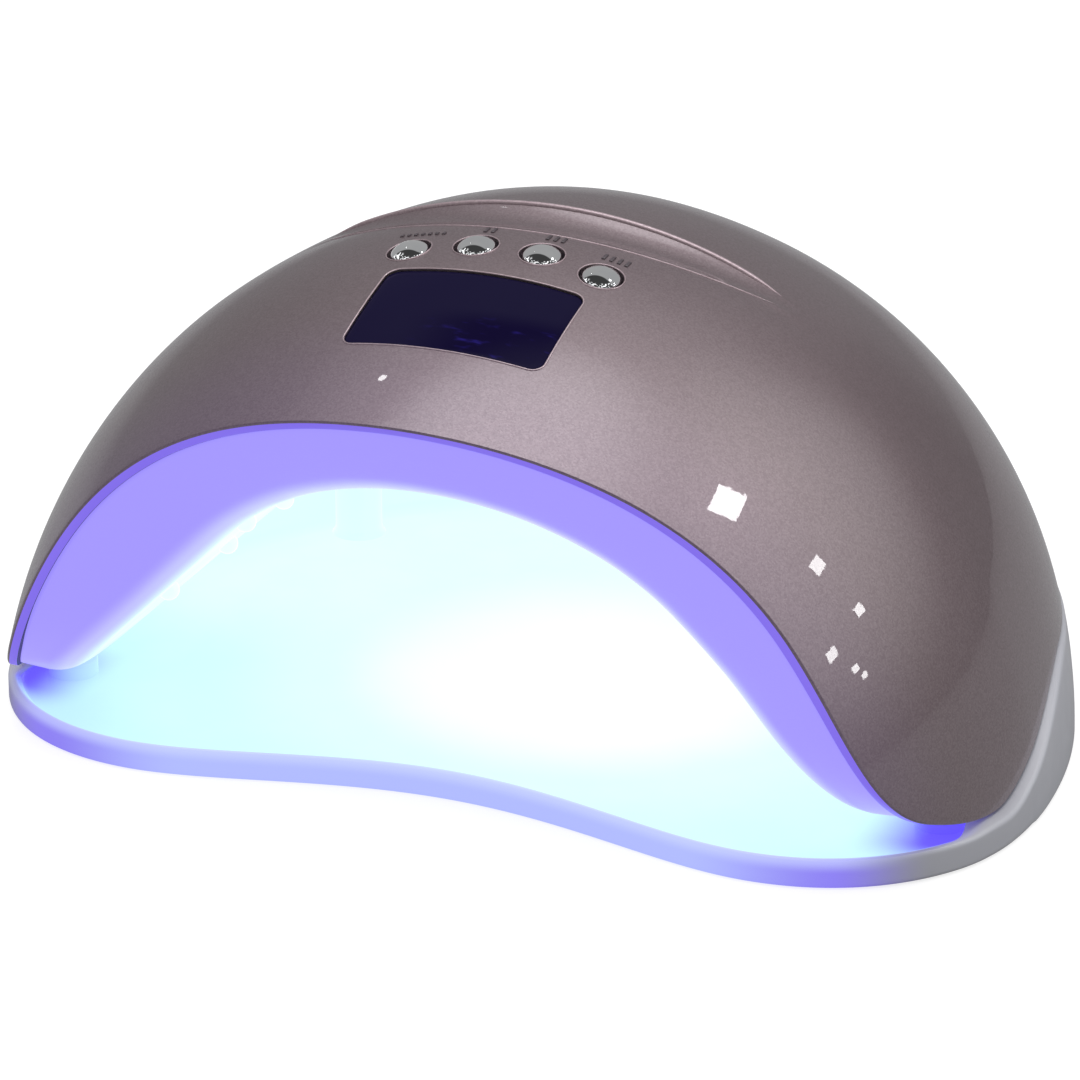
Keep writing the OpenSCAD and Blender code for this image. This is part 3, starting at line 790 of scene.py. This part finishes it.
def build_window(material):
    """Pane with a rounded edge that follows the dome a little below the paint."""
    o, u, v, n = dome_axes(0, WINDOW_Y)
    gap, thick, flat = 0.12, 2.3, 0.6
    rings = []
    for inset, depth in ((gap, thick), (gap, 0.9), (0.16, 0.62), (0.32, 0.48), (flat, WINDOW_SUNK)):
        rings.append(drop_to_dome(spread(window_outline(-inset), o, u, v), n, depth))
    for s in np.linspace(1, 0, 14)[1:]:
        rings.append(drop_to_dome(spread(s * window_outline(-flat), o, u, v), n, WINDOW_SUNK))
    obj = loft("display_window_lens", [to_point(rings[0]), *rings])
    obj.data.materials.append(material)
    return obj


def rib(name, line, radius, closed=True, rise=0.0):
    """A thin round rib along a line on the dome. An open rib tapers to a point at both ends."""
    taper = 0.10        # share of its length at each end
    p = np.asarray(line, float)
    t = np.roll(p, -1, 0) - np.roll(p, 1, 0) if closed else np.gradient(p, axis=0)
    t /= np.linalg.norm(t, axis=1)[:, None]
    up = np.array([dome_normal(q[0], q[1]) for q in p])
    side = np.cross(t, up)
    size = np.full(len(p), radius)
    if not closed:
        along = np.linspace(0, 1, len(p))
        size = radius * smooth(np.minimum(along, 1 - along) / taper)
        size[[0, -1]] = 0
    p = p + rise * up
    around = np.linspace(0, 2 * math.pi, 10, endpoint=False)
    rings = [p[k] + size[k] * (np.cos(around)[:, None] * side[k] + np.sin(around)[:, None] * up[k])
             for k in range(len(p))]
    return loft(name, rings, closed_rings=closed)


def crescent_lines():
    """The crease in front of the crescent's groove, and its lip against the raised crown behind."""
    crease, lip = [], []
    for angle in np.radians(np.linspace(58.5, 121.5, 181)):
        y = np.linspace(-40, -8, 641)
        a = np.full_like(y, angle)
        cut_in = groove_gap(about_axis(dome_r(y), a, y)) < 0
        cut_out = groove_gap(about_axis(crown_r(a, y), a, y)) < 0
        if cut_in.any() and cut_out.any():
            for rows, at in ((crease, y[cut_in][0]), (lip, y[cut_out][-1])):
                rows.append(on_shell(np.array([angle]), np.array([at]))[0])
    return np.array(crease), np.array(lip)


def shell_trim():
    """Ribs that stand on the shell: crescent lip and crease, rims of the window and the button holes."""
    crease, lip = crescent_lines()
    out = [rib("lip", lip, 0.68, closed=False, rise=-0.15),
           rib("crease", crease, 0.2, closed=False, rise=-0.02)]
    o, u, v, n = dome_axes(0, WINDOW_Y)
    line = drop_to_dome(spread(window_outline(0.05), o, u, v), n, 0.0)
    out.append(rib("window_rim", line, 0.2, rise=-0.05))
    ring = np.array(arc(0, 0, HOLE_R + 0.05, 0, 360, 64)[:-1])
    for i, (x, y) in enumerate(BUTTONS):
        o, u, v, n = dome_axes(x, y)
        line = drop_to_dome(spread(ring, o, u, v), n, 0.0)
        out.append(rib(f"hole_rim_{i}", line, 0.16, rise=-0.04))
    return out


def button_marks():
    """Small strokes raised behind each button in place of lettering: a dotted row, then two, three, four."""
    half_w, behind = 0.36, HOLE_R + 2.9
    out = []
    for i, (count, half_h, pitch) in enumerate(((7, 0.45, 1.6), (2, 1.1, 1.7), (3, 1.1, 1.7), (4, 1.1, 1.7))):
        o, u, v, n = dome_axes(*BUTTONS[i])
        box = np.array([(-half_w, -half_h), (half_w, -half_h), (half_w, half_h), (-half_w, half_h)])
        for k in range(count):
            middle = np.array([(k - (count - 1) / 2) * pitch, behind])
            rings = []
            for shrink, rise in ((0.0, -0.5), (0.0, 0.14), (0.1, 0.26), (0.25, 0.28)):
                line = box - np.sign(box) * shrink + middle
                rings.append(drop_to_dome(spread(line, o, u, v), n, 0.0) + rise * n)
            out.append(loft(f"mark_{i}_{k}", [to_point(rings[0]), *rings, to_point(rings[-1])]))
    return out


def button_profile():
    """Cap with a shallow domed top and a rolled edge, retaining flange and stem."""
    bulge = 2.0
    rho = (CAP_R ** 2 + bulge ** 2) / (2 * bulge)
    top = [(rho * math.sin(a), CAP_RISE - rho + rho * math.cos(a)) for a in np.linspace(0, 0.78, 12)]
    edge_z = top[-1][1]
    roll = [(CAP_R - 0.16, edge_z - 0.35), (CAP_R - 0.03, edge_z - 0.65), (CAP_R, edge_z - 1.0)]
    flange_r, flange_top = CAP_R + FLANGE_OUT, -SHELL_T - 0.5
    stem_top = flange_top - FLANGE_T
    stem_end = stem_top - STEM_L
    return top + roll + [
        (CAP_R, flange_top), (flange_r, flange_top), (flange_r, stem_top), (STEM_R, stem_top),
        (STEM_R, stem_end + 0.3), (STEM_R - 0.3, stem_end), (0, stem_end)]


def build_buttons(material):
    out = []
    for i, (x, y) in enumerate(BUTTONS):
        obj = lathe(f"button_{i + 1}_cap", button_profile(), dome_point(x, y), dome_normal(x, y), 72)
        obj.data.materials.append(material)
        bevel = obj.modifiers.new("edge", "BEVEL")
        bevel.width = 0.00012
        bevel.segments = 2
        bevel.limit_method = "ANGLE"
        bevel.angle_limit = math.radians(50)
        out.append(obj)
    return out


# ---- Lining ----

def cavity_r(angle, y):
    """Radius of the cavity about the Y axis: an arch with 45 degree flanks, closing at the back."""
    s = np.clip((y - CAVITY_Y) / CAVITY_END, 0, 1)
    close = (1 - s ** CAVITY_M) ** (1 / CAVITY_M)
    c, n = np.abs(np.cos(angle)), np.sin(angle)
    flare = np.where(n < c, math.sqrt(2) / np.maximum(c + n, 0.8), 1.0)
    flare = 1 + (flare - 1) * smooth((44 - y) / 40)
    return smooth_min(CAVITY_R * close * flare, np.maximum(dome_r(y) - FLANK_MARGIN, 1.0), 5.0)


def on_cavity(angle, y):
    r = cavity_r(angle, y)
    return np.stack([r * np.cos(angle), y, r * np.sin(angle)], -1)


def level_reach(points):
    """Moves points inwards at their height, towards the dome's middle, until they meet the cavity."""
    centre, z = np.array([0.0, CAVITY_Y - 20]), points[:, 2]
    way = points[:, :2] - centre

    def inside(share):
        x, y = (centre + way * share[:, None]).T
        return np.hypot(x, z) < cavity_r(np.arctan2(z, x), y)
    share = last_inside(inside, np.full(len(z), 0.05), np.ones(len(z)))
    return np.column_stack([centre + way * share[:, None], z])


def lining_lines():
    """Lines from the lining's outer edge, over the band and into the cavity, one per point of the edge. With
    them, the width of each line's rounded corner and the distance of each point past that corner."""
    count = 230
    outer = full_loop(half_loop(LINING_SET, SHELL_T + LINING_GAP, count))
    flange = full_loop(half_loop(LINING_SET + 3.0, SHELL_T + LINING_GAP, count))
    angle = np.arctan2(outer[:, 2], outer[:, 0])
    y = outer[:, 1]
    from_side = np.minimum(angle, math.pi - angle)
    arch = on_cavity(angle, y + BAND_DEPTH * smooth((from_side - 0.08) / 0.5))
    under = smooth((y + 78) / 22)       # 1 where the lining is the lamp's underside
    sink = 1 - under
    inner = arch * sink[:, None] + level_reach(outer) * under[:, None]
    a_in, y_in = np.arctan2(inner[:, 2], inner[:, 0]), inner[:, 1]
    rim = on_cavity(a_in, y_in)
    rows = [flange + (outer - flange) * t for t in (0, 0.5)]
    for t in np.linspace(0, 1, 25):
        row = outer * (1 - t) + rim * t
        row[:, 1] -= sink * (y_in - y) * 0.5 * t * (1 - t)
        rows.append(row)
    corner = len(rows) - 1
    for t in np.linspace(0, 1, 121)[1:]:
        rows.append(on_cavity(a_in + (math.pi / 2 - a_in) * t, y_in + (4.0 - y_in) * t))
    lines = np.stack(rows, 1)
    run = np.stack([run_along(line) for line in lines])
    return lines, 1.2 + 6.0 * sink, run - run[:, corner:corner + 1]


def round_corner(line, width):
    """Averages a line over a stretch of its length, which rounds its corners. Its ends stay in place."""
    fixed = 4
    run = run_along(line)
    step = np.linspace(0, run[-1], 700)
    fine = np.column_stack([np.interp(step, run, line[:, k]) for k in range(3)])
    total = np.concatenate([[[0, 0, 0]], np.cumsum((fine[1:] + fine[:-1]) / 2, axis=0)])
    spread_to = np.maximum(np.minimum(run - run[fixed - 1], run[-1] - run), 0)
    half = np.minimum(width, spread_to) + 1e-6
    out = np.empty_like(line)
    for k in range(3):
        hi = np.interp(run + half, step, total[:, k])
        lo = np.interp(run - half, step, total[:, k])
        out[:, k] = (hi - lo) * step[1] / (2 * half)
    out[:fixed] = line[:fixed]
    out[-1] = line[-1]
    return out


def build_lining(material):
    """Thin wall of the lining: band, rolled corner and cavity, with fewer rows deep inside."""
    lines, widths, past = lining_lines()
    lines = np.stack([round_corner(q, w) for q, w in zip(lines, widths)])
    fine_rows, stride, last = 46, 3, lines.shape[1] - 1
    keep = [k for k in range(last + 1) if k < fine_rows or k % stride == 0 or k == last]
    points = np.concatenate([lines[:, k] for k in keep])
    values = np.concatenate([past[:, k] for k in keep])
    obj = mesh_object("inner_lining_skin", points, ring_faces(len(keep), len(lines)), past_lip=values)
    ceiling = sum(p.normal.z for p in obj.data.polygons if p.center.z > 0.05 and abs(p.center.x) < 0.03)
    wall = obj.modifiers.new("wall", "SOLIDIFY")
    wall.thickness = 0.0016
    wall.offset = 1 if ceiling > 0 else -1      # always into the lamp, away from the cavity
    obj.data.materials.append(material)
    return obj


# ---- Tray ----

def lobe_reach(phi):
    """Distance of the kidney outline from the dome's widest section, by direction."""
    line = bezier_line(LOBE_CURVES, 120)
    full = np.concatenate([line[::-1] * [-1, 1], line[1:]])
    a = np.arctan2(full[:, 1] - DOME_Y, full[:, 0])
    d = np.hypot(full[:, 1] - DOME_Y, full[:, 0])
    a, d = a[a < -0.05], d[a < -0.05]
    order = np.argsort(a)
    way = (phi + math.pi) % (2 * math.pi) - math.pi
    got = np.interp(way, a[order], d[order])
    beyond = 400.0      # behind the lobes, where the dome alone sets the outline
    return np.where((way > a.max()) | (way < a.min()), beyond, got)


def tray_reach(phi, z):
    """Distance, in the plane at height z, from the dome's widest section to the outside of the tray."""
    def inside(reach):
        y = DOME_Y + reach * np.sin(phi)
        flare = (TRAY_OUT - TRAY_BACK) * np.clip((FLARE_Y - y) / FLARE_RUN, 0, 1)
        return np.hypot(reach * np.cos(phi), z - AXIS_Z) < dome_r(y, TRAY_BACK) + flare
    reach = last_inside(inside, np.zeros_like(phi), np.full_like(phi, 160.0))
    return smooth_min(reach, lobe_reach(phi), 2.0)


def rim_height(y):
    """Height of the tray's top: low round the front, then just under the edge of the shell."""
    line = bezier_line(EDGE_CURVES[2:], 80, -0.35)
    edge = np.interp(y, line[:, 0], line[:, 1])
    return RIM_H + (edge - RIM_H) * smooth((y - FOOT_Y + 12) / 14)


def tray_skin():
    """Closed skin of the tray: foot, outer wall, rounded rim, inner wall and floor."""
    count = 560
    phi = np.linspace(-math.pi, math.pi, count, endpoint=False) + math.pi / count

    def wall(z, inset):
        z = np.broadcast_to(z, phi.shape).astype(float)
        reach = tray_reach(phi, z) - inset
        return np.column_stack([reach * np.cos(phi), DOME_Y + reach * np.sin(phi), z])

    y = wall(3.0, 0)[:, 1]
    rim = rim_height(y)
    ledge = smooth((y - LEDGE_Y) / LEDGE_RUN)       # 1 where the shell stands on the tray
    low = 1 - ledge
    rings = [to_point(phi, [0, DOME_Y, TRAY_BOTTOM])]
    for rise, inset in ((0, 20.0), (0, 0.8), (0.06, 0.45), (0.2, 0.2), (0.45, 0.05), (0.8, 0.0)):
        rings.append(wall(TRAY_BOTTOM + rise, inset))
    side_z = TRAY_BOTTOM + 0.8
    for t in np.linspace(0.08, 1, 8):
        rings.append(wall(side_z + (rim - 1.0 - side_z) * t, 0))
    outer_round, inner_round = 0.9, 0.5
    for a in np.radians((20, 45, 70, 90)):
        down = (outer_round + 0.1) * (1 - math.sin(a))
        rings.append(wall(rim - down, outer_round * (1 - math.cos(a))))
    top_w = 0.5 + LEDGE_W * ledge
    for t in np.linspace(0.25, 1, 4):
        rings.append(wall(rim, outer_round + t * top_w))
    lip = outer_round + top_w
    for a in np.radians((30, 60, 90)):
        rings.append(wall(rim - inner_round * (1 - math.cos(a)), lip + inner_round * math.sin(a)))
    rings.append(wall(rim - inner_round - 1.4 * ledge - 0.35 * low, lip + inner_round + 0.1 * low))
    inner_top = rim - 2.2 * ledge - 1.2 * low
    rings.append(wall(inner_top, TRAY_T + 0.2 + 0.3 * low))
    for t, fillet in ((0.35, 0.0), (0.7, 0.4), (0.88, 1.4), (0.97, 3.0), (1.0, 6.0)):
        rings.append(wall(inner_top * (1 - t) + FLOOR_Z * t, TRAY_T + 0.5 + fillet))
    floor, middle = rings[-1], np.array([0, DOME_Y, FLOOR_Z])
    rings += [middle + (floor - middle) * s for s in np.linspace(1, 0, 16)[1:]]
    return loft("base_tray_skin", rings)


def tray_post(name, x, y):
    """Round post with a shallow socket for a magnet at its top. A rear one has a fillet at its foot."""
    r, root, socket_r, socket = 5.4, 2.4, 4.1, 0.6
    front = y < FOOT_Y + 10
    top = (FOOT_Z + 0.4 if front else LEVEL_Z) - 0.7
    foot = [(0, root), (r, root)]
    if not front:
        foot = [(0, root), (r + 1.4, root), (r + 0.8, FLOOR_Z + 0.1)]
        foot += [(r + 0.2, FLOOR_Z + 0.8), (r, FLOOR_Z + 2)]
    head = [(r, top - 0.4), (r - 0.3, top), (socket_r, top), (socket_r, top - socket), (0, top - socket)]
    return lathe(name, foot + head, np.array([x, y, 0.0]), [0, 0, 1.0], 40)


def build_tray(material):
    tray = join("base_tray_body", [tray_skin(), *(tray_post(f"post_{i}", *at) for i, at in enumerate(POSTS))])
    x, y, z = (np.array([v.co for v in tray.data.vertices]) / MM).T
    inset = tray_reach(np.arctan2(y - DOME_Y, x), z) - np.hypot(x, y - DOME_Y)
    on_ledge = smooth((y - LEDGE_Y) / LEDGE_RUN) * smooth((z - rim_height(y) + 1.8) / 0.8)
    inside = smooth((inset - 0.9 - 5.5 * on_ledge) / 1.6) * (z > TRAY_BOTTOM + 1.6)
    store_past_lip(tray.data, inside)
    tray.data.materials.append(material)
    return tray


# ---- Assembly ----

def stand_in(obj, body, node):
    """Shows the object in place of a CAD node, on that node's body."""
    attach(obj, body)
    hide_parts(node)


def dress(material, *names):
    """Material and smooth shading for CAD nodes."""
    for name in names:
        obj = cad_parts[name]
        obj.data.materials.clear()
        obj.data.materials.append(material)
        for p in obj.data.polygons:
            p.use_smooth = True
        edges = obj.modifiers.new("edges", "EDGE_SPLIT")
        edges.split_angle = math.radians(35)


# The last look is the lacquer at twice the brightness: a painted highlight for the ribs
shell_looks = [paint_material("metallic_paint", 1.0), edge_material(),
               plain_material("shell_inside", (0.05, 0.04, 0.12), (0.06, 0.05, 0.14), 0.5),
               plain_material("mark_paint", (0.05, 0.04, 0.045), (0.07, 0.056, 0.064), 0.35),
               paint_material("highlight_trim_paint", 2.0)]
stand_in(build_shell(shell_looks), "lamp", "outer_shell")
stand_in(build_lining(lining_material()), "lamp", "inner_lining")
stand_in(build_window(window_material()), "lamp", "display_window")
for i, button in enumerate(build_buttons(chrome_material())):
    stand_in(button, f"button_{i + 1}", f"button_{i + 1}")
stand_in(build_tray(tray_material()), "tray", "base_tray")

dress(bead_material(), "led_beads")
dress(plain_material("black_plastic", (0.012, 0.012, 0.014), (0.02, 0.02, 0.022), 0.45),
      "display_module", "tact_switches", "control_chip", "buzzer", "dc_jack")
dress(plain_material("guide_plastic", (0.75, 0.75, 0.77), (0.82, 0.82, 0.84), 0.4), "button_guide")
dress(board_material("circuit_board", (0.02, 0.16, 0.06), (0.03, 0.22, 0.09)), "control_board")
dress(board_material("led_board", (0.72, 0.74, 0.74), (0.62, 0.65, 0.66)),
      "led_ring_1", "led_ring_2", "led_ring_3", "led_ring_4", "led_bar_left", "led_bar_right")
dress(plain_material("capacitor_sleeve", (0.02, 0.025, 0.09), (0.03, 0.035, 0.12), 0.25), "capacitors")
dress(plain_material("sensor_lens", (0.02, 0.004, 0.012), (0.03, 0.006, 0.018), 0.1), "hand_sensor")
dress(plain_material("wire_sleeve", (0.012, 0.012, 0.014), (0.022, 0.022, 0.026), 0.5), "wire_harness")
dress(plain_material("zinc_steel", (0.55, 0.55, 0.57), (0.66, 0.66, 0.68), 0.3, 300, 1.0),
      "lining_screws", "board_screws")
dress(plain_material("nickel_plate", (0.6, 0.59, 0.57), (0.7, 0.69, 0.67), 0.22, 300, 1.0),
      "lamp_magnets", "tray_magnets")
dress(plain_material("foot_rubber", (0.018, 0.018, 0.02), (0.03, 0.03, 0.032), 0.75), "tray_feet")


# ---- Stage, light and camera ----

CAMERA_AZIMUTH, CAMERA_ELEVATION = 22.85, 22.12
CAMERA_DISTANCE, CAMERA_LENS = 1.06, 166.7


def grey(level):
    return (level, level, level)


def build_stage():
    """Pale floor. The camera sees it nearly white, and shiny parts see it darker."""
    s = 6.0
    mesh = bpy.data.meshes.new("floor")
    mesh.from_pydata([(-s, -s, 0), (s, -s, 0), (s, s, 0), (-s, s, 0)], [], [(0, 1, 2, 3)])
    floor = new_object("floor", mesh)
    n = Look("floor_paper")
    path = n.add("ShaderNodeLightPath")
    paper = n.mix(n.noise(6, 3), grey(0.25), grey(0.27))
    seen = n.mix(path.outputs["Is Glossy Ray"], paper, (0.255, 0.255, 0.26))
    n.set(Base_Color=n.mix(path.outputs["Is Singular Ray"], seen, (0.7, 0.7, 0.71)))
    n.set(Roughness=0.9, Specular_IOR_Level=0.1, Emission_Color=grey(1.0))
    n.set(Emission_Strength=n.times(path.outputs["Is Camera Ray"], 0.78))
    mesh.materials.append(n.mat)


def build_world():
    """White to the camera. Reflections see a dim room that brightens overhead."""
    world = bpy.data.worlds.new("studio")
    bpy.context.scene.world = world
    n = Nodes(world, "Background", "Generated")
    x, y, z = n.axis("X"), n.axis("Y"), n.axis("Z")
    seen_by = n.add("ShaderNodeLightPath").outputs

    def room(*levels):
        heights = (0.0, 0.3, 0.6, 0.86, 0.97)
        return n.ramp(z, [(at, (v, v, 1.02 * v)) for at, v in zip(heights, levels)])

    front_room = room(0.18, 0.12, 0.16, 0.55, 2.6)
    left_room = room(0.22, 0.21, 0.22, 0.48, 2.6)
    right_room = room(0.09, 0.05, 0.12, 0.46, 2.6)
    back_room = n.mix(n.between(x, 0.02, 0.30), left_room, right_room)
    whole_room = n.mix(n.between(y, -0.1, 0.5), front_room, back_room)

    # Wide soft glow round the key light
    key_way = (0.707, 0.230, 0.669)
    to_key = n.add("ShaderNodeVectorMath", {0: n.place, 1: key_way}, operation="DOT_PRODUCT")
    colour = n.mix(n.between(to_key.outputs["Value"], 0.74, 1.0, 0.0, 0.8), whole_room, grey(1.5))

    # Mirrors see a pale wall behind, and in front of them dark furniture with small lamps
    lamps = n.mix(n.between(n.noise(5.5, 1.0), 0.54, 0.60), grey(0.06), grey(1.5))
    lamps = n.mix(n.between(z, 0.85, 0.70), grey(0.05), lamps)
    mirror_room = n.mix(n.between(y, 0.02, 0.10), lamps, grey(0.38))
    colour = n.mix(seen_by["Is Singular Ray"], colour, mirror_room)
    colour = n.mix(seen_by["Is Diffuse Ray"], colour, grey(0.9))
    n.set(Color=n.mix(seen_by["Is Camera Ray"], colour, grey(1)))


def look_at(aim, azimuth, elevation, distance, name, data):
    """Stands a lamp or camera off from aim, at an azimuth (0 in front, 90 to the right) and elevation."""
    a, e = math.radians(azimuth), math.radians(elevation)
    way = Vector((math.sin(a) * math.cos(e), -math.cos(a) * math.cos(e), math.sin(e)))
    obj = bpy.data.objects.new(name, data)
    obj.location = Vector(aim) + way * distance
    obj.rotation_mode = "QUATERNION"
    obj.rotation_quaternion = (-way).to_track_quat("-Z", "Y")
    bpy.context.scene.collection.objects.link(obj)
    return obj


def soft_light(name, azimuth, elevation, size, radiance, aim, distance=1.2):
    """Square soft box."""
    data = bpy.data.lights.new(name, "AREA")
    data.size = size
    data.energy = radiance * math.pi * size * size
    obj = look_at(aim, azimuth, elevation, distance, name, data)
    obj.visible_camera = False
    return obj


def build_lights():
    """Large soft box overhead, and a square key with a row of small ones that the lacquer mirrors."""
    overhead = soft_light("overhead", 0, 89.0, 1.3, 3.2, (0, 0, 0), 1.8)
    overhead.visible_glossy = False
    shoulder = dome_point(80, -75) * MM
    soft_light("key", 113.5, 52.3, 0.118, 17, shoulder)
    row = ((113.5, 32.3, 0.060), (114, 21.3, 0.042), (104, 19.4, 0.044), (107, 14.4, 0.028),
           (108, 12.2, 0.022))
    for k, (azimuth, elevation, size) in enumerate(row):
        soft_light(f"row_{k}", azimuth, elevation, size, 14, shoulder)
    soft_light("glint", -120, 55.4, 0.02, 12, dome_point(-8, -85) * MM)


def build_camera():
    """Camera above and to the right, with the lamp across the whole width."""
    aim = (-0.0008, cad_lo.y + AIM_BEHIND_FRONT, cad_hi.z - AIM_BELOW_TOP)
    data = bpy.data.cameras.new("camera")
    data.lens = CAMERA_LENS
    bpy.context.scene.camera = look_at(
        aim, CAMERA_AZIMUTH, CAMERA_ELEVATION, CAMERA_DISTANCE, "camera", data)


build_stage()
build_world()
build_lights()
build_camera()
bpy.context.scene.view_settings.view_transform = "Standard"
